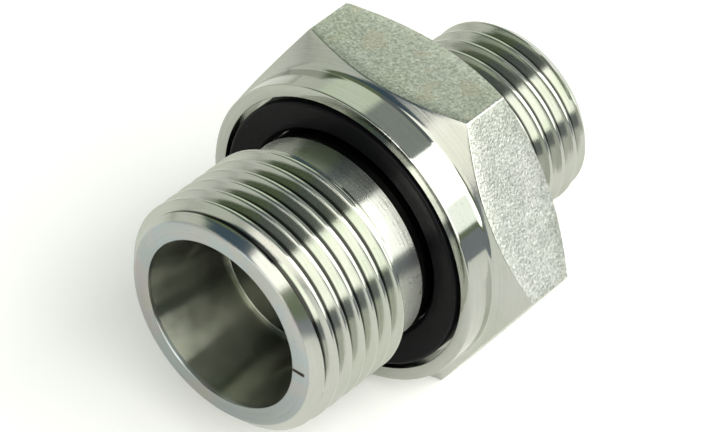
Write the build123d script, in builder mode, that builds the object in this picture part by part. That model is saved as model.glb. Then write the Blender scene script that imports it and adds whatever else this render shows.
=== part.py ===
from build123d import *
import os
from math import cos, radians, tan

# Reducing adapter, lying on one flat of its hexagon.
# +X runs along the axis from the large stud to the small one, and +Z is up.
# The origin is under the middle of the adapter's length, on the surface that it lies on.
# All sizes are in millimetres, and angles in degrees.
# The large thread sets the port, so the neck, seal, collar and hexagon follow from it, one from the next.

# Large stud, M20 x 1.5, as a plain cylinder over the thread's crests
large_thread_diameter = 19.9
large_stud_length = 14.0
large_lead_depth = 1.3          # how far the lead-in chamfer goes below the crests
large_lead_angle = 47.0         # between the lead-in chamfer and the axis
large_lead_rounding = 0.7
neck_undercut = 1.05            # how far the neck lies below the crests
neck_length = 3.25              # plain neck in front of the collar's face
neck_shoulder_angle = 50.0      # between the thread's last slope and the axis

# Seal ring
seal_neck_clearance = 0.05
seal_width = 2.6
seal_height = 1.5
seal_front_fall = 0.35          # how far the front face falls back towards the neck
seal_inner_bevel = 0.3
seal_edge_rounding = 0.22

# Groove for the seal, and the collar round it
groove_gap = 0.4                # between the ring and the groove's outer wall
groove_depth = 1.3
collar_lip = 1.05               # flat metal ring outside the groove
collar_fillet = 0.45            # between the collar and the front chamfer

# Hexagon, 27 across flats
hex_step = 0.5                  # from the collar's side up to the flats
hex_thickness = 10.0            # from the collar's face to the hexagon's back face
hex_front_corner = 4.3          # how far behind the collar's face the sharp corners start
front_chamfer_angle = 32.0      # between the chamfer and a plane across the axis
back_chamfer_angle = 31.0
back_face_inset = 0.35          # how far the back chamfer cuts into the flats

# Small stud, M16 x 1.5, as a plain cylinder over the thread's crests
small_thread_diameter = 15.9
small_stud_length = 11.0
small_lead_depth = 0.75
small_lead_angle = 40.0
relief_undercut = 1.05
relief_length = 1.6             # plain bottom of the relief behind the hexagon
relief_shoulder_angle = 45.0

# Bore of the large end: a cone, a tube socket with a narrow stop, and a long drilled bore
cone_half_angle = 12.0
large_face_width = 1.35         # flat ring between the mouth and the lead-in chamfer
large_cone_length = 5.175
large_socket_length = 2.325
large_stop_width = 0.35
large_bore_depth = 17.0
drill_point_angle = 118.0

# Bore of the small end: a cone and a tube socket, with the through hole behind its stop
small_face_width = 2.05
small_cone_length = 5.175
small_socket_length = 1.825
small_stop_width = 1.05


def slope_run(radius_a, radius_b, angle):
    """Length along the axis of a slope between two radii, with its angle from the axis."""
    return abs(radius_a - radius_b) / tan(radians(angle))


# Radii outside
large_thread_radius = large_thread_diameter / 2
large_face_radius = large_thread_radius - large_lead_depth
neck_radius = large_thread_radius - neck_undercut
seal_inner_radius = neck_radius + seal_neck_clearance
seal_outer_radius = seal_inner_radius + seal_width
groove_radius = seal_outer_radius + groove_gap
collar_radius = groove_radius + collar_lip
flat_radius = collar_radius + hex_step
corner_radius = flat_radius / cos(radians(30))
back_face_radius = flat_radius - back_face_inset
small_thread_radius = small_thread_diameter / 2
small_face_radius = small_thread_radius - small_lead_depth
relief_radius = small_thread_radius - relief_undercut

# Radii of the bore
cone_rise = tan(radians(cone_half_angle))
large_mouth_radius = large_face_radius - large_face_width
large_socket_radius = large_mouth_radius - large_cone_length * cone_rise
large_bore_radius = large_socket_radius - large_stop_width
small_mouth_radius = small_face_radius - small_face_width
small_socket_radius = small_mouth_radius - small_cone_length * cone_rise
through_radius = small_socket_radius - small_stop_width

# Places along the axis, measured from the large stud's end face
collar_face = large_stud_length
groove_floor = collar_face + groove_depth
hex_back_face = collar_face + hex_thickness
total_length = hex_back_face + small_stud_length

lead_end = slope_run(large_face_radius, large_thread_radius, large_lead_angle)
neck_start = collar_face - neck_length
large_thread_end = neck_start - slope_run(large_thread_radius, neck_radius, neck_shoulder_angle)

relief_end = hex_back_face + relief_length
small_thread_start = relief_end + slope_run(small_thread_radius, relief_radius, relief_shoulder_angle)
small_lead_start = total_length - slope_run(small_thread_radius, small_face_radius, small_lead_angle)

large_socket_floor = large_cone_length + large_socket_length
drill_point_end = large_bore_depth + slope_run(large_bore_radius, through_radius, drill_point_angle / 2)
small_cone_start = total_length - small_cone_length
small_socket_floor = small_cone_start - small_socket_length

# Both chamfers of the hexagon are cones, and their outlines run on out of the bar until they meet
front_rise = tan(radians(front_chamfer_angle))
back_rise = tan(radians(back_chamfer_angle))
collar_back = collar_face + hex_front_corner - (corner_radius - collar_radius) * front_rise
front_cone_tip = collar_back - collar_radius * front_rise
back_cone_tip = hex_back_face + back_face_radius * back_rise
cones_meet_radius = (back_cone_tip - front_cone_tip) / (front_rise + back_rise)
cones_meet = front_cone_tip + cones_meet_radius * front_rise

# Every profile is drawn with x along the axis from the large end and y outwards from the axis
axis_height = flat_radius
large_end_centre = (-total_length / 2, 0, axis_height)
profile_plane = Plane(origin=large_end_centre, x_dir=(1, 0, 0), z_dir=(0, -1, 0))
bar_plane = Plane(origin=large_end_centre, x_dir=(0, 1, 0), z_dir=(1, 0, 0))
adapter_axis = Axis(large_end_centre, (1, 0, 0))

# Body: a hexagon bar, turned outside and bored from both ends
with BuildPart() as adapter_body:
    with BuildSketch(bar_plane):
        RegularPolygon(radius=corner_radius, side_count=6)
    extrude(amount=total_length)

    # What the lathe leaves: large stud, neck, seal groove, collar, both chamfers, relief, small stud
    with BuildSketch(profile_plane):
        with BuildLine():
            Polyline(
                (0, 0),
                (0, large_face_radius),
                (lead_end, large_thread_radius),
                (large_thread_end, large_thread_radius),
                (neck_start, neck_radius),
                (groove_floor, neck_radius),
                (groove_floor, groove_radius),
                (collar_face, groove_radius),
                (collar_face, collar_radius),
                (collar_back, collar_radius),
                (cones_meet, cones_meet_radius),
                (hex_back_face, back_face_radius),
                (hex_back_face, relief_radius),
                (relief_end, relief_radius),
                (small_thread_start, small_thread_radius),
                (small_lead_start, small_thread_radius),
                (total_length, small_face_radius),
                (total_length, 0),
                close=True,
            )
        make_face()
        lead_corner = vertices().sort_by_distance((0, large_face_radius))[0]
        fillet(lead_corner, large_lead_rounding)
        collar_corner = vertices().sort_by_distance((collar_back, collar_radius))[0]
        fillet(collar_corner, collar_fillet)
    revolve(axis=adapter_axis, mode=Mode.INTERSECT)

    # What the drills and cone reamers take out, from the large mouth to the small one
    with BuildSketch(profile_plane):
        with BuildLine():
            Polyline(
                (0, 0),
                (0, large_mouth_radius),
                (large_cone_length, large_socket_radius),
                (large_socket_floor, large_socket_radius),
                (large_socket_floor, large_bore_radius),
                (large_bore_depth, large_bore_radius),
                (drill_point_end, through_radius),
                (small_socket_floor, through_radius),
                (small_socket_floor, small_socket_radius),
                (small_cone_start, small_socket_radius),
                (total_length, small_mouth_radius),
                (total_length, 0),
                close=True,
            )
        make_face()
    revolve(axis=adapter_axis, mode=Mode.SUBTRACT)

# Seal ring: it stands on the groove's floor, and its outer edge is proud of the collar's face
seal_front = groove_floor - seal_height
seal_front_at_neck = seal_front + seal_front_fall

with BuildPart() as seal_ring:
    with BuildSketch(profile_plane):
        with BuildLine():
            Polyline(
                (groove_floor, seal_inner_radius),
                (seal_front_at_neck + seal_inner_bevel, seal_inner_radius),
                (seal_front_at_neck, seal_inner_radius + seal_inner_bevel),
                (seal_front, seal_outer_radius),
                (groove_floor, seal_outer_radius),
                close=True,
            )
        make_face()
        front_edge = vertices().sort_by_distance((seal_front, seal_outer_radius))[0]
        fillet(front_edge, seal_edge_rounding)
    revolve(axis=adapter_axis)

os.makedirs("parts", exist_ok=True)

adapter_body.part.label = "adapter_body"
export_step(adapter_body.part, "parts/adapter_body.step")

seal_ring.part.label = "seal_ring"
export_step(seal_ring.part, "parts/seal_ring.step")
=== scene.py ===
"""Reducing adapter on a pale floor: a zinc plated body with two real threads, and its black seal ring."""

from collections import namedtuple
from math import cos, pi, radians, sin, tan

import bmesh
import bpy
import numpy as np
from mathutils import Matrix, Vector


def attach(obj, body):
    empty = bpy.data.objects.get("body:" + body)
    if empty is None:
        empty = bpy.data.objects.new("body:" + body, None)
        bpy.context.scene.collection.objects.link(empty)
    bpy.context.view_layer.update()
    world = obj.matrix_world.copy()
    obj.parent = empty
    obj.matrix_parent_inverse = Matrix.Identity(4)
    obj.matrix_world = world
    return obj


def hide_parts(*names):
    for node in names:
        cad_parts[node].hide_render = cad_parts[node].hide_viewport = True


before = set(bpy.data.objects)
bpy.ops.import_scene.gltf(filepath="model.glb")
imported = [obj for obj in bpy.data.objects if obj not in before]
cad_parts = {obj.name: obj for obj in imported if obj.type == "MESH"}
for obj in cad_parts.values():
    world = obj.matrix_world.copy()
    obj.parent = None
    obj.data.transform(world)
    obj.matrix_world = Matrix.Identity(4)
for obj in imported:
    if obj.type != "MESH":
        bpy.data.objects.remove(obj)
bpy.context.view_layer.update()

# The adapter is drawn in millimetres, and place() turns them into world places in metres.
# p runs along the axis from the large end face, r outwards from the axis,
# and phi, in degrees, about the axis from +Y towards +Z.
MM = 0.001
TOTAL = 35.0
HALF_LENGTH = TOTAL / 2
AXIS_HEIGHT = 13.5


def place(p, r, phi):
    """World places of points given along, out from and about the axis."""
    a = np.radians(phi)
    p, r, a = np.broadcast_arrays(p, r, a)
    return np.stack([p - HALF_LENGTH, r * np.cos(a), r * np.sin(a) + AXIS_HEIGHT], -1) * MM


def smooth_min(a, b, k):
    """The lower of two, with the corner between them rounded over k."""
    h = np.maximum(k - np.abs(a - b), 0) / k
    return np.minimum(a, b) - h * h * k / 4


def smooth_max(a, b, k):
    """The higher of two, rounded in the same way."""
    return -smooth_min(-a, -b, k)


def ramp(value, low, high):
    """A smooth rise from 0 at low to 1 at high."""
    t = np.clip((value - low) / (high - low), 0, 1)
    return t * t * (3 - 2 * t)


def round_corners(points, steps=4):
    """A polyline of (p, r) points, where a third number rounds that corner with an arc of its radius."""
    rows = [points[0][:2]]
    for before, corner, after in zip(points, points[1:], points[2:]):
        a, b, c = (np.array(point[:2], float) for point in (before, corner, after))
        if len(corner) < 3:
            rows.append(tuple(b))
            continue
        radius = corner[2]
        towards_a = (a - b) / np.linalg.norm(a - b)
        towards_c = (c - b) / np.linalg.norm(c - b)
        half_angle = np.arccos(np.clip(towards_a @ towards_c, -1, 1)) / 2
        run = radius / np.tan(half_angle)
        middle = (towards_a + towards_c) / np.linalg.norm(towards_a + towards_c)
        centre = b + middle * radius / np.sin(half_angle)
        first_arm = b + towards_a * run - centre
        last_arm = b + towards_c * run - centre
        sweep = pi - 2 * half_angle
        for k in range(steps + 1):
            t = k / steps
            arm = (np.sin((1 - t) * sweep) * first_arm + np.sin(t * sweep) * last_arm) / np.sin(sweep)
            rows.append(tuple(centre + arm))
    rows.append(points[-1][:2])
    return rows


# Columns about the axis, closer together at the hexagon's corners
SIDES = 6
SIDE_ANGLE = 60.0
NEAR_CORNER = [-0.55, -0.36, -0.18, 0.0, 0.18, 0.36, 0.55]
COLUMNS_PER_SIDE = 40
along_side = np.linspace(NEAR_CORNER[-1], SIDE_ANGLE - NEAR_CORNER[-1], COLUMNS_PER_SIDE + 2)[1:-1]
columns = [SIDE_ANGLE * side + angle for side in range(SIDES) for angle in (*NEAR_CORNER, *along_side)]
columns = np.sort(np.array(columns) % 360.0)
COLUMN_COUNT = len(columns)

# Points in one cell of a fine grid are welded
WELD_CELL = 1e-7                # metres
WELD_OFFSET = 0.3137            # in cells: keeps round places clear of the edges between cells
NO_WIDTH = 1e-9                 # millimetres: quads of a thread no wider than this are left out

# Both threads
PITCH = 1.5
CREST_ANGLE = 120.0             # where about the axis a crest's place along it is given
FLANK_RISE = 1 / tan(radians(30))       # two flanks are 60 degrees apart
CREST_HALF = 0.11               # half of the width of a crest's flat
CREST_ROUNDING = 0.07
ROOT_ROUNDING = 0.16
END_ROUNDING = 0.1              # between the crests and the slopes at both ends
CUT_ROUNDING = 0.05             # where the grooves run out into those slopes


def helix_run(phi):
    """How far along the axis a crest lies at phi, from its place at CREST_ANGLE."""
    return PITCH * (phi - CREST_ANGLE) / 360.0


class Shell:
    """Gathers strips of quads on the shared columns and welds them into one closed mesh."""

    def __init__(self):
        self.points = []
        self.faces = []
        self.looks = []
        self.count = 0

    def add(self, grid, faces, look):
        """One strip: its grid of points, its quads and the material slot that they have."""
        self.points.append(grid.reshape(-1, 3))
        self.faces.append(faces + self.count)
        self.looks.append(np.full(len(faces), look))
        self.count += grid.shape[0] * grid.shape[1]

    def rings(self, rows, look):
        """Rows of (p, r), each a number or one value a column, joined all round."""
        n = COLUMN_COUNT
        grid = np.stack([place(p, r, columns) for p, r in rows])
        i, j = np.meshgrid(np.arange(len(rows) - 1), np.arange(n), indexing="ij")
        k = (j + 1) % n
        quads = np.stack([i * n + j, i * n + k, (i + 1) * n + k, (i + 1) * n + j], -1).reshape(-1, 4)
        self.add(grid, quads, look)

    def helix(self, start, end, first_crest, steps, profile, look):
        """A thread from start to end: its rows follow the crest's helix and are cut off at both places."""
        first_turn = int((start - first_crest) // PITCH) - 2
        last_turn = int((end - first_crest) // PITCH) + 2
        turns = range(first_turn, last_turn)
        offsets = np.array([first_crest + PITCH * turn + step for turn in turns for step in steps])
        phi = np.append(columns, columns[0] + 360.0)
        p = offsets[:, None] + helix_run(phi[None, :])
        free = (p > start) & (p < end)
        p = np.clip(p, start, end)
        r = profile(p, phi[None, :], free)
        grid = place(p, r, np.append(columns, columns[0])[None, :] * np.ones_like(p))
        rows, n = p.shape
        i, j = np.meshgrid(np.arange(rows - 1), np.arange(n - 1), indexing="ij")
        quads = np.stack([i * n + j, i * n + j + 1, (i + 1) * n + j + 1, (i + 1) * n + j], -1)
        quads = quads.reshape(-1, 4)
        flat = p.reshape(-1)
        width = np.ptp(flat[quads[:, [0, 3]]], axis=1) + np.ptp(flat[quads[:, [1, 2]]], axis=1)
        self.add(grid, quads[width > NO_WIDTH], look)

    def mesh(self, name):
        """All strips welded where they meet, without the faces that collapse in the weld."""
        points = np.concatenate(self.points)
        faces = np.concatenate(self.faces)
        looks = np.concatenate(self.looks)
        key = np.round(points / WELD_CELL + WELD_OFFSET).astype(np.int64)
        _, first, index = np.unique(key, axis=0, return_index=True, return_inverse=True)
        points = points[first]
        faces = index.reshape(-1)[faces]
        kept_faces = []
        kept_looks = []
        for face, look in zip(faces.tolist(), looks.tolist()):
            corners = [v for n, v in enumerate(face) if v != face[n - 1]]
            if len(set(corners)) >= 3 and len(set(corners)) == len(corners):
                kept_faces.append(corners)
                kept_looks.append(look)
        mesh = bpy.data.meshes.new(name)
        mesh.from_pydata([tuple(p) for p in points], [], kept_faces)
        mesh.polygons.foreach_set("material_index", kept_looks)
        mesh.polygons.foreach_set("use_smooth", [True] * len(kept_faces))
        mesh.update()
        return mesh


# Material slots of the body, in the order that its materials are added
TURNED, THREAD, FLAT, END_FACE, BORE, TAPER, COARSE = range(7)

# Large stud
LARGE_FACE = 8.65
LARGE_CREST = 9.95
LARGE_ROOT = 9.05
LARGE_START = 0.1882            # where the end face's rounding meets the lead-in chamfer
LARGE_END = 10.75
LARGE_CREST_PLACE = 2.0
LEAD_RISE = tan(radians(47))
SHOULDER_RISE = tan(radians(50))
NECK = 8.9

# Small stud
SMALL_FACE = 7.2
SMALL_CREST = 7.95
SMALL_ROOT = 7.03
SMALL_START = 25.6
SMALL_END = 34.9
SMALL_CREST_PLACE = 29.753
SMALL_LEAD_RISE = tan(radians(40))
RELIEF = 6.9
RELIEF_ROUNDING = 0.3           # in the corner with the hexagon's back face
RUN_OUT = (34.3, 34.85)        # where the last groove rises out of the metal
RUN_OUT_RISE = 0.45


def thread_radius(p, phi, crest_place, crest, root):
    """Radius of an endless thread that has a crest's middle at crest_place."""
    from_crest = (p - crest_place - helix_run(phi) + PITCH / 2) % PITCH - PITCH / 2
    flank = crest - (np.abs(from_crest) - CREST_HALF) * FLANK_RISE
    return smooth_max(smooth_min(flank, crest, CREST_ROUNDING), root, ROOT_ROUNDING)


def trimmed(cut, crest, front_slope, back_slope, free):
    """A thread cut down to the slopes at its ends, and lying on the lower slope where it isn't free."""
    envelope = smooth_min(smooth_min(front_slope, crest, END_ROUNDING), back_slope, END_ROUNDING)
    return np.where(free, smooth_min(cut, envelope, CUT_ROUNDING), np.minimum(front_slope, back_slope))


def large_lead(p):
    """Radius of the large stud's lead-in chamfer."""
    return LARGE_FACE + p * LEAD_RISE


def small_lead(p):
    """Radius of the small stud's lead-in chamfer."""
    return SMALL_FACE + (TOTAL - p) * SMALL_LEAD_RISE


def large_profile(p, phi, free):
    cut = thread_radius(p, phi, LARGE_CREST_PLACE, LARGE_CREST, LARGE_ROOT)
    shoulder = NECK + (LARGE_END - p) * SHOULDER_RISE
    return trimmed(cut, LARGE_CREST, large_lead(p), shoulder, free)


def small_profile(p, phi, free):
    cut = thread_radius(p, phi, SMALL_CREST_PLACE, SMALL_CREST, SMALL_ROOT)
    cut = cut + RUN_OUT_RISE * ramp(p, *RUN_OUT)
    shoulder = RELIEF + (p - SMALL_START)
    return trimmed(cut, SMALL_CREST, shoulder, small_lead(p), free)


def over_one_pitch(steps):
    """Rows on both sides of a crest's middle, up to the middle of the root."""
    return sorted({-step for step in steps} | set(steps)) + [PITCH / 2]


LARGE_STEPS = over_one_pitch([0, 0.05, 0.08, 0.11, 0.14, 0.18, 0.28, 0.42, 0.55, 0.63, 0.70])
SMALL_STEPS = over_one_pitch([0, 0.06, 0.10, 0.13, 0.17, 0.34, 0.55, 0.66])

# Neck, groove and collar
NECK_LAND_END = 13.15
LAND_STEP = 0.04
UNDERCUT = NECK - 0.1
GROOVE_FLOOR = 15.3
GROOVE_RADIUS = 11.95
COLLAR_FACE = 14.0
COLLAR = 13.0
COLLAR_LIP_ROUNDING = 0.06
COLLAR_EDGE_ROUNDING = 0.1
COLLAR_FILLET = 0.45

# Hexagon: the radius of its outline on every column, with its corners rounded a little.
# corner_gap and arc_angle are in radians.
FLAT_RADIUS = AXIS_HEIGHT
HALF_SIDE = SIDE_ANGLE / 2
HALF_SIDE_COSINE = cos(radians(HALF_SIDE))
CORNER_ROUNDING = 0.25
from_flat = (columns % SIDE_ANGLE) - HALF_SIDE
hex_radius = FLAT_RADIUS / np.cos(np.radians(from_flat))
corner_gap = np.radians(HALF_SIDE - np.abs(from_flat))
corner = FLAT_RADIUS / HALF_SIDE_COSINE
arc_centre = corner - CORNER_ROUNDING / HALF_SIDE_COSINE
arc_angle = np.arctan2(CORNER_ROUNDING / 2, arc_centre + CORNER_ROUNDING * HALF_SIDE_COSINE)
reach = arc_centre * np.cos(corner_gap) + np.sqrt(
    np.maximum(CORNER_ROUNDING**2 - (arc_centre * np.sin(corner_gap)) ** 2, 0)
)
hex_radius = np.where(corner_gap < arc_angle, reach, hex_radius)

# Both chamfers of the hexagon are cones, which meet its outline in curved edges
FRONT_RISE = tan(radians(32))
BACK_RISE = tan(radians(31))
SHARP_CORNER_START = 18.3
COLLAR_BACK = SHARP_CORNER_START - (corner - COLLAR) * FRONT_RISE
FRONT_CONE_RUN = 0.4            # first bit of the front cone, outwards, with the collar's look
HEX_BACK = 24.0
BACK_FACE_RADIUS = 13.15
BACK_CONE_RUN = 0.03            # last bit of the back cone, along the axis, with the back face's look
EDGE_BREAK = 0.05              # how far from a curved edge its rounding starts
front_edge = COLLAR_BACK + (hex_radius - COLLAR) * FRONT_RISE
back_edge = HEX_BACK - (hex_radius - BACK_FACE_RADIUS) * BACK_RISE


def between(start, end, count):
    """Evenly spaced rows after the row start, up to and with the row end."""
    rows = []
    for share in np.linspace(0, 1, count + 1)[1:]:
        rows.append(tuple(np.asarray(a) + (np.asarray(b) - a) * share for a, b in zip(start, end)))
    return rows


def edge_middle(before, edge, after):
    """The middle row of a rounded edge, from the edge itself and the rows on its two sides."""
    return tuple((np.asarray(a) + c) * 0.25 + b * 0.5 for a, b, c in zip(before, edge, after))


shell = Shell()
shell.helix(LARGE_START, LARGE_END, LARGE_CREST_PLACE, LARGE_STEPS, large_profile, THREAD)

# Neck with its coarse turned land and the finer undercut behind it, groove, collar's face and collar.
# Rows close to an edge keep the normals of a long face even, on the narrow columns too.
shell.rings([(LARGE_END, NECK), (NECK_LAND_END, NECK)], COARSE)
front = round_corners([
    (NECK_LAND_END, NECK),
    (NECK_LAND_END + LAND_STEP, UNDERCUT),
    (GROOVE_FLOOR, UNDERCUT),
    (GROOVE_FLOOR, GROOVE_RADIUS),
    (COLLAR_FACE, GROOVE_RADIUS, COLLAR_LIP_ROUNDING),
    (COLLAR_FACE, COLLAR, COLLAR_EDGE_ROUNDING),
    (COLLAR_FACE + 0.2, COLLAR),
    (COLLAR_FACE + 2.35, COLLAR),
    (COLLAR_BACK, COLLAR, COLLAR_FILLET),
    (COLLAR_BACK + FRONT_CONE_RUN * FRONT_RISE, COLLAR + FRONT_CONE_RUN),
])
shell.rings(front, TURNED)

# Hexagon with its two cones
cone_start = front[-1]
cone_end = (front_edge - EDGE_BREAK * FRONT_RISE, hex_radius - EDGE_BREAK)
flat_start = (front_edge + EDGE_BREAK, hex_radius)
flat_end = (back_edge - EDGE_BREAK, hex_radius)
back_start = (back_edge + EDGE_BREAK * BACK_RISE, hex_radius - EDGE_BREAK)
back_stop = (HEX_BACK - BACK_CONE_RUN, BACK_FACE_RADIUS + BACK_CONE_RUN / BACK_RISE)
front_middle = edge_middle(cone_end, (front_edge, hex_radius), flat_start)
back_middle = edge_middle(flat_end, (back_edge, hex_radius), back_start)
shell.rings([cone_start] + between(cone_start, cone_end, 5) + [front_middle], TAPER)
shell.rings([front_middle, flat_start] + between(flat_start, flat_end, 5) + [back_middle], FLAT)
shell.rings([back_middle, back_start] + between(back_start, back_stop, 3), TAPER)

# Back face, relief and small stud
back = round_corners([
    back_stop,
    (HEX_BACK, BACK_FACE_RADIUS),
    (HEX_BACK, BACK_FACE_RADIUS - 0.1),
    (HEX_BACK, RELIEF + 0.4),
    (HEX_BACK, RELIEF, RELIEF_ROUNDING),
    (SMALL_START, RELIEF),
])
shell.rings(back, TURNED)
shell.helix(SMALL_START, SMALL_END, SMALL_CREST_PLACE, SMALL_STEPS, small_profile, THREAD)

# Small end face, both bores and the large end face
LARGE_MOUTH = 7.3
LARGE_SOCKET = 6.2
LARGE_BORE = 5.85
THROUGH = 3.0
SMALL_SOCKET = 4.05
SMALL_MOUTH = 5.15
LARGE_CONE_END = 5.175
LARGE_SOCKET_FLOOR = 7.5
LARGE_BORE_END = 17.0
DRILL_POINT_END = 18.712
SMALL_SOCKET_FLOOR = 28.0
SMALL_CONE_START = 29.825
CONE_RISE = tan(radians(12))
STOP_ROUNDING = 0.08
MOUTH_ROUNDING = 0.12
SMALL_FACE_ROUNDING = 0.09
LARGE_FACE_ROUNDING = 0.7
MOUTH_ROW = 0.35                # last row of the large cone, before its mouth is rounded
BEYOND_START = 0.2              # how far past LARGE_START the chamfer is drawn, to round its corner

small_end = round_corners([
    (SMALL_END, small_lead(SMALL_END)),
    (TOTAL, SMALL_FACE, SMALL_FACE_ROUNDING),
    (TOTAL, SMALL_MOUTH, MOUTH_ROUNDING),
    (SMALL_CONE_START, SMALL_SOCKET),
])
shell.rings(small_end[:-1], END_FACE)
inside = round_corners([
    small_end[-2],
    (SMALL_CONE_START, SMALL_SOCKET),
    (SMALL_SOCKET_FLOOR, SMALL_SOCKET),
    (SMALL_SOCKET_FLOOR, THROUGH, STOP_ROUNDING),
    (DRILL_POINT_END, THROUGH),
    (LARGE_BORE_END, LARGE_BORE),
    (LARGE_SOCKET_FLOOR, LARGE_BORE, STOP_ROUNDING),
    (LARGE_SOCKET_FLOOR, LARGE_SOCKET),
    (LARGE_CONE_END, LARGE_SOCKET),
    (MOUTH_ROW, LARGE_MOUTH - MOUTH_ROW * CONE_RISE),
])
shell.rings(inside, BORE)
large_end = round_corners([
    inside[-1],
    (0.0, LARGE_MOUTH, MOUTH_ROUNDING),
    (0.0, LARGE_FACE, LARGE_FACE_ROUNDING),
    (LARGE_START + BEYOND_START, large_lead(LARGE_START + BEYOND_START)),
], steps=6)
shell.rings(large_end[:-2] + [(LARGE_START, large_lead(LARGE_START))], END_FACE)

SHARP_ANGLE = 38.0
AREA_WEIGHT = 60


def new_object(name, data):
    """An object in the scene."""
    obj = bpy.data.objects.new(name, data)
    bpy.context.scene.collection.objects.link(obj)
    return obj


def finished(mesh):
    """The mesh as an object, with its normals outwards and its sharp edges marked."""
    shape = bmesh.new()
    shape.from_mesh(mesh)
    bmesh.ops.recalc_face_normals(shape, faces=shape.faces)
    shape.to_mesh(mesh)
    shape.free()
    mesh.set_sharp_from_angle(angle=radians(SHARP_ANGLE))
    obj = new_object(mesh.name, mesh)
    weighted = obj.modifiers.new("weighted", "WEIGHTED_NORMAL")
    weighted.keep_sharp = True
    weighted.weight = AREA_WEIGHT
    return obj


body = finished(shell.mesh("turned_body"))

# Seal ring
SEAL_BACK = 15.28
SEAL_FRONT = 13.8
SEAL_INNER = 8.95
SEAL_OUTER = 11.55
SEAL_MIDDLE = 10.2
BEVEL_START = 14.45
BEVEL_END = 14.15
BEVEL_HEIGHT = 0.3
SEAL_HOLE_ROUNDING = 0.1
BEVEL_ROUNDING = 0.12
SEAL_FRONT_ROUNDING = 0.24
SEAL_BACK_ROUNDING = 0.12
seal_shell = Shell()
seal_shell.rings(
    round_corners([
        (SEAL_BACK, SEAL_MIDDLE),
        (SEAL_BACK, SEAL_INNER, SEAL_HOLE_ROUNDING),
        (BEVEL_START, SEAL_INNER, SEAL_HOLE_ROUNDING),
        (BEVEL_END, SEAL_INNER + BEVEL_HEIGHT, BEVEL_ROUNDING),
        (SEAL_FRONT, SEAL_OUTER, SEAL_FRONT_ROUNDING),
        (SEAL_BACK, SEAL_OUTER, SEAL_BACK_ROUNDING),
        (SEAL_BACK, SEAL_MIDDLE),
    ], steps=6),
    look=0,
)
seal = finished(seal_shell.mesh("face_seal"))

# Colour sockets of the Mix node, by number: its sockets for other types have the same names
MIX_A = 6
MIX_B = 7
MIX_RESULT = 2


def is_socket(value):
    return isinstance(value, bpy.types.NodeSocket)


class Nodes:
    """Short calls to build a node tree."""

    def __init__(self, tree):
        self.tree = tree
        tree.nodes.clear()

    def new(self, kind, **settings):
        node = self.tree.nodes.new(kind)
        for key, value in settings.items():
            setattr(node, key, value)
        return node

    def put(self, socket, value):
        """Links a socket, or sets a value."""
        if is_socket(value):
            self.tree.links.new(value, socket)
        else:
            socket.default_value = value

    def math(self, operation, *values):
        node = self.new("ShaderNodeMath", operation=operation)
        for socket, value in zip(node.inputs, values):
            self.put(socket, value)
        return node.outputs[0]

    def times(self, a, b):
        return self.math("MULTIPLY", a, b)

    def angle(self, y, z):
        """Degrees about the axis, from +Y towards +Z."""
        return self.times(self.math("ARCTAN2", z, y), 180 / pi)

    def step(self, value, low, high, start=0.0, end=1.0):
        """A smooth change from start at low to end at high."""
        node = self.new("ShaderNodeMapRange", interpolation_type="SMOOTHSTEP")
        for socket, number in zip(node.inputs, (value, low, high, start, end)):
            self.put(socket, number)
        return node.outputs[0]

    def window(self, value, low, high, soft):
        """1 between low and high, 0 outside, and soft at both edges."""
        opening = self.step(value, low - soft, low + soft)
        closing = self.step(value, high - soft, high + soft, start=1.0, end=0.0)
        return self.times(opening, closing)

    def mix(self, factor, a, b):
        node = self.new("ShaderNodeMix", data_type="RGBA")
        self.put(node.inputs["Factor"], factor)
        self.put(node.inputs[MIX_A], a if is_socket(a) else (*a, 1.0))
        self.put(node.inputs[MIX_B], b if is_socket(b) else (*b, 1.0))
        return node.outputs[MIX_RESULT]

    def noise(self, vector, scale, detail=2.0, rough=0.5, distortion=0.0):
        node = self.new("ShaderNodeTexNoise")
        self.put(node.inputs["Vector"], vector)
        node.inputs["Scale"].default_value = scale
        node.inputs["Detail"].default_value = detail
        node.inputs["Roughness"].default_value = rough
        node.inputs["Distortion"].default_value = distortion
        return node.outputs[0]

    def combine(self, x, y, z):
        node = self.new("ShaderNodeCombineXYZ")
        for socket, value in zip(node.inputs, (x, y, z)):
            self.put(socket, value)
        return node.outputs[0]

    def bump(self, height, strength, distance, normal=None):
        node = self.new("ShaderNodeBump")
        node.inputs["Strength"].default_value = strength
        node.inputs["Distance"].default_value = distance
        self.put(node.inputs["Height"], height)
        if normal is not None:
            self.put(node.inputs["Normal"], normal)
        return node.outputs[0]

    def surface(self, shader, output="ShaderNodeOutputMaterial"):
        """Ends the tree."""
        self.put(self.new(output).inputs["Surface"], shader.outputs[0])


# Where a point of the surface is: raw object coordinates, x along the axis from the middle of the adapter's
# length, y and z from the axis, and out from the axis. All but the first are in millimetres.
Spot = namedtuple("Spot", "raw x y z out")


def find_spot(g):
    raw = g.new("ShaderNodeTexCoord").outputs["Object"]
    split = g.new("ShaderNodeSeparateXYZ")
    g.put(split.inputs[0], raw)
    x = g.times(split.outputs[0], 1 / MM)
    y = g.times(split.outputs[1], 1 / MM)
    z = g.math("MULTIPLY_ADD", split.outputs[2], 1 / MM, -AXIS_HEIGHT)
    out = g.math("SQRT", g.math("ADD", g.times(y, y), g.times(z, z)))
    return Spot(raw, x, y, z, out)


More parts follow.
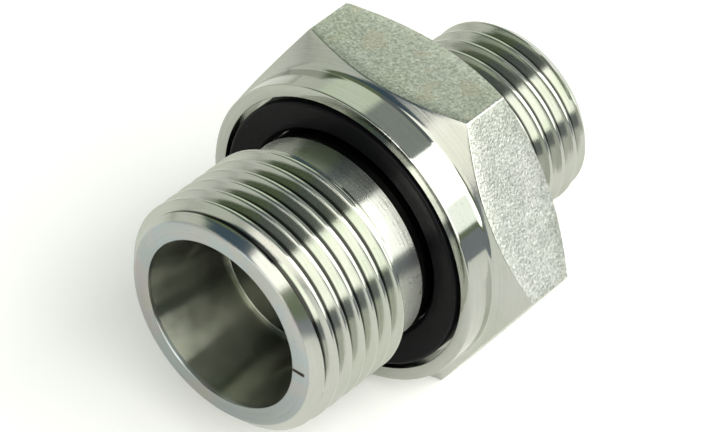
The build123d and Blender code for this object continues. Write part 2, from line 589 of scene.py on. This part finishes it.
# Places of details, with x measured from the middle of the adapter's length
BETWEEN_THREADS = 5.0
LARGE_GROOVES = (1.0 - HALF_LENGTH, 10.2 - HALF_LENGTH)
SMALL_GROOVES = (26.5 - HALF_LENGTH, 34.2 - HALF_LENGTH)
COLLAR_EDGE = (COLLAR_FACE - HALF_LENGTH - 0.04, COLLAR_FACE - HALF_LENGTH + 0.16)
UNDERCUT_SPAN = (NECK_LAND_END - HALF_LENGTH, GROOVE_FLOOR - HALF_LENGTH + 0.2)
# angles about the axis of the painted glints on the collar's edge
GLINT_ANGLES = (95.0, 119.0)
SCRATCH_ANGLES = (175.7, 178.0)
SCRATCH_RADII = (7.35, 8.5)
TOP_FLAT = (13.2, 13.4)

# Colours that are laid over the plain zinc
# painted shade at the roots of the threads
ROOT_SHADE = (0.012, 0.012, 0.010)
# painted glint: near white base colour for bright spots on the collar's edge
PAINTED_GLINT = (1.0, 1.0, 0.96)
# painted shade: the dark band in the undercut beside the seal
UNDERCUT_SHADE = (0.10, 0.10, 0.10)
DARK_SCALE = (0.26, 0.275, 0.25)
BRIGHT_SCALE = (1.0, 1.0, 1.0)
WARM_PATCH = (0.70, 0.60, 0.46)
# painted shade: the lower end faces mirroring the floor's contact shadow
FLOOR_SHADOW_GREY = (0.16, 0.17, 0.165)
SCRATCH_BROWN = (0.035, 0.022, 0.012)
SPECK = (0.20, 0.21, 0.20)
MARK_BOTTOM = (0.30, 0.31, 0.285)
TINTS = (
    (0.30, (0.42, 0.53, 0.53)),
    (0.42, (0.42, 0.49, 0.57)),
    (0.50, (0.50, 0.50, 0.48)),
    (0.58, (0.55, 0.46, 0.52)),
    (0.68, (0.54, 0.51, 0.40)),
)
CLOUD_SHADE = (0.93, 0.955, 0.90)


def thread_roots(g, base, at):
    """Painted shade, near black, at the bottom of both threads."""
    small_side = g.step(at.x, BETWEEN_THREADS - 0.1, BETWEEN_THREADS + 0.1)
    root = g.math("MULTIPLY_ADD", small_side, SMALL_ROOT - LARGE_ROOT, LARGE_ROOT)
    depth = g.math("SUBTRACT", at.out, root)
    in_large = g.window(at.x, *LARGE_GROOVES, 0.2)
    in_small = g.window(at.x, *SMALL_GROOVES, 0.2)
    # Painted shade, strongest near the root of the thread
    low = g.step(depth, 0.07, 0.22, start=0.96, end=0.0)
    return g.mix(g.times(low, g.math("ADD", in_large, in_small)), base, ROOT_SHADE)


def collar_glints_and_shade(g, base, at):
    """Painted glints, near white spots in the base colour on the collar's front edge, and painted shade in
    the undercut beside the seal.
    """
    # Painted glints: near white spots on the collar's front edge
    around = g.combine(0.0, g.times(at.y, 1.6), g.times(at.z, 1.6))
    spots = g.step(g.noise(around, 1.0, 3.0, 0.7), 0.46, 0.52)
    spots = g.times(spots, g.window(g.angle(at.y, at.z), *GLINT_ANGLES, 1.5))
    edge = g.times(g.window(at.x, *COLLAR_EDGE, 0.03), g.step(at.out, COLLAR - 0.14, COLLAR - 0.08))
    base = g.mix(g.times(spots, edge), base, PAINTED_GLINT)
    # Painted shade in the undercut beside the seal, strongest next to the neck
    near_neck = g.step(at.out, NECK + 0.2, NECK + 0.3, start=0.8, end=0.0)
    return g.mix(g.times(g.window(at.x, *UNDERCUT_SPAN, 0.02), near_neck), base, UNDERCUT_SHADE)


def flat_grain(g, base, at):
    """Mottled scale-like grain of a drawn bar, with faint warm patches on the top flat."""
    spot = g.combine(at.x, at.y, at.z)
    mottle = g.noise(spot, 4.4, 3.0, 0.6)
    base = g.mix(g.step(mottle, 0.36, 0.54, start=0.5, end=0.0), base, DARK_SCALE)
    base = g.mix(g.step(mottle, 0.56, 0.70, start=0.0, end=0.75), base, BRIGHT_SCALE)
    warm = g.step(g.noise(spot, 0.5, 2.0, 0.5), 0.56, 0.68, start=0.0, end=0.35)
    return g.mix(g.times(warm, g.step(at.z, *TOP_FLAT)), base, WARM_PATCH)


def end_face_shade_and_scratch(g, base, at):
    """Painted shade, greyer towards the floor where the end faces mirror the floor's contact shadow, and
    one radial scratch with a dark brown bottom.
    """
    # Painted shade, growing towards the floor
    base = g.mix(g.step(at.z, -9.0, 6.0, start=0.34, end=0.0), base, FLOOR_SHADOW_GREY)
    across = g.window(g.angle(at.y, at.z), *SCRATCH_ANGLES, 0.35)
    return g.mix(g.times(across, g.window(at.out, *SCRATCH_RADII, 0.08)), base, SCRATCH_BROWN)


def new_material(name):
    """A material, the nodes that build it, the place on its surface and its shader."""
    material = bpy.data.materials.new(name)
    material.use_nodes = True
    g = Nodes(material.node_tree)
    return material, g, find_spot(g), g.new("ShaderNodeBsdfPrincipled")


def zinc(
    name, colour, rough, marks, grain,
    anisotropic=0.0, tint=0.0, grain_scale=3200.0, mark_scale=9.0, speck=0.12, extra=None,
):
    """Bright zinc, with the depths of its turning marks and of its fine orange peel in millimetres."""
    material, g, at, shader = new_material(name)
    shader.inputs["Metallic"].default_value = 1.0
    shader.inputs["Anisotropic"].default_value = anisotropic
    shader.inputs["Anisotropic Rotation"].default_value = 0.25
    if anisotropic:
        tangent = g.new("ShaderNodeTangent", direction_type="RADIAL", axis="X")
        g.put(shader.inputs["Tangent"], tangent.outputs[0])

    # Cloudy passivation, neutral to slightly green
    cloud = g.noise(at.raw, 160.0, 3.0, 0.55)
    shaded = tuple(part * shade for part, shade in zip(colour, CLOUD_SHADE))
    base = g.mix(g.step(cloud, 0.35, 0.65), colour, shaded)
    if tint:
        bands = g.new("ShaderNodeValToRGB")
        g.put(bands.inputs[0], g.noise(at.raw, 210.0, 2.0, 0.5, 0.6))
        stops = bands.color_ramp.elements
        while len(stops) < len(TINTS):
            stops.new(0.5)
        for stop, (position, rgb) in zip(stops, TINTS):
            stop.position = position
            stop.color = (*rgb, 1.0)
        base = g.mix(tint, base, bands.outputs[0])

    # Turning marks run round the axis: fine along it and outwards, slow about it
    along = g.math("ADD", at.x, at.out)
    ringed = g.combine(g.times(along, mark_scale), g.times(at.y, 0.12), g.times(at.z, 0.12))
    lines = g.noise(ringed, 1.0, 3.0, 0.6)
    fine = g.noise(at.raw, grain_scale, 2.0, 0.5)
    normal = g.bump(fine, 1.0, grain * MM)
    if marks:
        normal = g.bump(lines, 1.0, marks * MM, normal)
    g.put(shader.inputs["Normal"], normal)
    base = g.mix(g.step(fine, 0.58, 0.76, start=0.0, end=speck), base, SPECK)
    if marks:
        base = g.mix(g.step(lines, 0.42, 0.75, start=0.0, end=0.22), base, MARK_BOTTOM)
    patches = g.noise(at.raw, 420.0, 2.0, 0.5)
    g.put(shader.inputs["Roughness"], g.step(patches, 0.3, 0.7, start=rough * 0.92, end=rough * 1.1))
    if extra:
        base = extra(g, base, at)
    g.put(shader.inputs["Base Color"], base)
    g.surface(shader)
    return material


def rubber():
    """Black elastomer with faint moulding rings and a little dust."""
    material, g, at, shader = new_material("black_rubber")
    ringed = g.combine(g.times(at.out, 5.0), g.times(at.y, 0.2), g.times(at.z, 0.2))
    lines = g.noise(ringed, 1.0, 3.0, 0.6)
    dust = g.noise(at.raw, 1500.0, 3.0, 0.65)
    dusty = g.step(dust, 0.62, 0.78, start=0.0, end=0.6)
    g.put(shader.inputs["Base Color"], g.mix(dusty, (0.004, 0.004, 0.005), (0.020, 0.020, 0.023)))
    g.put(shader.inputs["Roughness"], g.step(dust, 0.3, 0.7, start=0.28, end=0.42))
    shader.inputs["Specular IOR Level"].default_value = 0.10
    g.put(shader.inputs["Normal"], g.bump(dust, 0.6, 0.012 * MM, g.bump(lines, 1.0, 0.03 * MM)))
    g.surface(shader)
    return material


ZINC = (0.56, 0.57, 0.535)
THREAD_ZINC = (0.60, 0.61, 0.57)
# The flats' zinc is lighter than the rest: painted light, raised to match how brightly the flats are lit
LIT_FLAT_ZINC = (0.69, 0.70, 0.665)
END_ZINC = (0.54, 0.555, 0.53)
BORE_ZINC = (0.40, 0.41, 0.355)
COARSE_ZINC = (0.74, 0.75, 0.71)
for material in (
    zinc("zinc_turned", ZINC, rough=0.09, marks=0.0022, grain=0.0004, anisotropic=0.5, extra=collar_glints_and_shade),
    zinc("zinc_thread", THREAD_ZINC, rough=0.15, marks=0.0020, grain=0.0014, anisotropic=0.4,
         grain_scale=5200.0, mark_scale=14.0, extra=thread_roots),
    zinc("zinc_flat", LIT_FLAT_ZINC, rough=0.36, marks=0.0, grain=0.026, grain_scale=5000.0, speck=0.6,
         extra=flat_grain),
    zinc("zinc_end_face", END_ZINC, rough=0.22, marks=0.003, grain=0.0010, tint=0.5, extra=end_face_shade_and_scratch),
    zinc("zinc_bore", BORE_ZINC, rough=0.22, marks=0.0060, grain=0.0024, anisotropic=1.0,
         grain_scale=4200.0, mark_scale=14.0),
    zinc("zinc_taper", ZINC, rough=0.14, marks=0.0050, grain=0.0010, anisotropic=0.6),
    zinc("zinc_coarse", COARSE_ZINC, rough=0.27, marks=0.0260, grain=0.0010, anisotropic=1.0),
):
    body.data.materials.append(material)
seal.data.materials.append(rubber())

# What the pieces stand for, their slots and the body they ride on
for piece, node, slot in ((body, "adapter_body", "plated_steel"), (seal, "seal_ring", "black_elastomer")):
    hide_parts(node)
    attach(piece, "root")


def card(name, corners):
    """One flat quad of the stage, its material's node tree and its shader. Corners are in metres."""
    mesh = bpy.data.meshes.new(name)
    mesh.from_pydata(corners, [], [(0, 1, 2, 3)])
    obj = new_object(name, mesh)
    look = bpy.data.materials.new(name + "_look")
    look.use_nodes = True
    mesh.materials.append(look)
    return obj, look.node_tree, look.node_tree.nodes["Principled BSDF"]


# Pale floor: the camera sees it paler than the metal does
floor, tree, shader = card("floor", [(-2, -2, 0), (2, -2, 0), (2, 2, 0), (-2, 2, 0)])
seen = tree.nodes.new("ShaderNodeLightPath")
paleness = tree.nodes.new("ShaderNodeMix")
paleness.data_type = "RGBA"
paleness.inputs[MIX_A].default_value = (0.70, 0.70, 0.68, 1)
paleness.inputs[MIX_B].default_value = (0.95, 0.95, 0.945, 1)
tree.links.new(seen.outputs["Is Camera Ray"], paleness.inputs["Factor"])
tree.links.new(paleness.outputs[MIX_RESULT], shader.inputs["Base Color"])
shader.inputs["Roughness"].default_value = 0.9
shader.inputs["Specular IOR Level"].default_value = 0.0
shader.inputs["Emission Color"].default_value = (1.0, 1.0, 0.985, 1)
shader.inputs["Emission Strength"].default_value = 0.12


def posed(position, right, up, back):
    """World matrix of an object at a position, with its three axes."""
    return Matrix.Translation(position) @ Matrix((right, up, back)).transposed().to_4x4()


def area_light(name, width, height, radiance, colour):
    """An area light that the camera doesn't see, from the brightness of its surface."""
    light = bpy.data.lights.new(name, "AREA")
    light.shape = "RECTANGLE"
    light.size = width
    light.size_y = height
    light.energy = radiance * pi * width * height
    light.color = colour
    obj = new_object(name, light)
    obj.visible_camera = False
    return obj


def softbox(name, phi, half_angle, distance, x_from, x_to, radiance, colour):
    """A long box parallel to the axis, seen from it between phi - half_angle and phi + half_angle."""
    height = 2 * distance * tan(radians(half_angle))
    obj = area_light(name, x_to - x_from, height, radiance, colour)
    along = Vector((1, 0, 0))
    out = Vector((0, cos(radians(phi)), sin(radians(phi))))
    centre = Vector(((x_from + x_to) / 2, 0, AXIS_HEIGHT * MM)) + out * distance
    obj.matrix_world = posed(centre, along, out.cross(along), out)


# Softboxes, with their lengths and places in metres
softbox("key_softbox", 132.0, 19.5, 0.45, -0.50, 1.10, 2.8, (1.0, 0.99, 0.955))
softbox("low_softbox", 161.7, 10.2, 0.52, 0.26, 1.10, 1.4, (1.0, 1.0, 0.985))
softbox("near_softbox", 161.7, 10.2, 0.52, -0.40, 0.26, 2.8, (1.0, 0.99, 0.96))

# A dark strip that stands just above the floor and lower than the softboxes, in metres
STRIP_SPAN = (-0.7, 1.1)
STRIP_HEIGHTS = (0.0005, 0.0235)
STRIP_Y = -0.08
strip_corners = [(x, STRIP_Y, STRIP_HEIGHTS[0]) for x in STRIP_SPAN]
strip_corners += [(x, STRIP_Y, STRIP_HEIGHTS[1]) for x in reversed(STRIP_SPAN)]
flag, tree, shader = card("dark_strip", strip_corners)
shader.inputs["Base Color"].default_value = (0.02, 0.02, 0.025, 1)
shader.inputs["Emission Color"].default_value = (0.23, 0.25, 0.28, 1)
shader.inputs["Emission Strength"].default_value = 1.0
shader.inputs["Roughness"].default_value = 0.9
flag.visible_camera = False
flag.visible_diffuse = False

# The room that the metal mirrors: each patch is painted over those before it
ROOM = (0.17, 0.21, 0.13)
BACKDROP = (0.96, 0.96, 0.95)
world = bpy.data.worlds.new("studio")
bpy.context.scene.world = world
world.use_nodes = True
g = Nodes(world.node_tree)
split = g.new("ShaderNodeSeparateXYZ")
g.put(split.inputs[0], g.new("ShaderNodeTexCoord").outputs["Generated"])
dx, dy, dz = split.outputs
about = g.angle(dy, dz)
everywhere = 1.0
near_side = g.step(dx, -0.55, -0.45, start=1.0, end=0.0)
near_top = g.step(dx, -0.60, -0.45, start=1.0, end=0.0)
far_side = g.step(dx, 0.40, 0.52)
shade = ROOM
for where, low_angle, high_angle, soft, colour in (
    (everywhere, 68, 118, 3.0, (0.15, 0.17, 0.175)),
    (near_side, 28, 74, 6.0, (0.07, 0.11, 0.15)),
    (far_side, 60, 125, 5.0, (0.34, 0.37, 0.345)),
    (far_side, -90, 65, 3.5, (0.82, 0.90, 0.73)),
    (everywhere, -90, 26, 4.0, (0.72, 0.74, 0.67)),
    (near_top, 80, 136, 4.0, (1.75, 1.72, 1.64)),
):
    shade = g.mix(g.times(where, g.window(about, low_angle, high_angle, soft)), shade, colour)
facing = g.step(dx, -0.95, -0.90, start=1.0, end=0.0)
low_down = g.step(dz, 0.20, 0.30, start=1.0, end=0.0)
shade = g.mix(g.times(facing, low_down), shade, (1.55, 1.50, 1.38))
shade = g.mix(g.new("ShaderNodeLightPath").outputs["Is Camera Ray"], shade, BACKDROP)
background = g.new("ShaderNodeBackground")
g.put(background.inputs["Color"], shade)
g.surface(background, "ShaderNodeOutputWorld")

TOP_FILL_SIZE = 1.6
TOP_FILL_HEIGHT = 1.0
top_fill = area_light("top_fill", TOP_FILL_SIZE, TOP_FILL_SIZE, 0.30, (1, 1, 1))
top_fill.location = (0, 0, TOP_FILL_HEIGHT)
top_fill.visible_glossy = False

# Camera, with its position and axes fitted to the outlines in the photograph
CAMERA_POSITION = (-0.21638, -0.16575, 0.26452)
CAMERA_RIGHT = Vector((0.65165, -0.75621, 0.05919))
CAMERA_UP = Vector((0.48631, 0.47640, 0.73250))
camera = bpy.data.cameras.new("camera")
camera.sensor_fit = "HORIZONTAL"
camera.sensor_width = 36.0
camera.lens = 240.0
camera.clip_start = 0.01
camera.clip_end = 20.0
camera_object = new_object("camera", camera)
camera_object.matrix_world = posed(CAMERA_POSITION, CAMERA_RIGHT, CAMERA_UP, CAMERA_RIGHT.cross(CAMERA_UP))
bpy.context.scene.camera = camera_object
bpy.context.scene.view_settings.view_transform = "Standard"
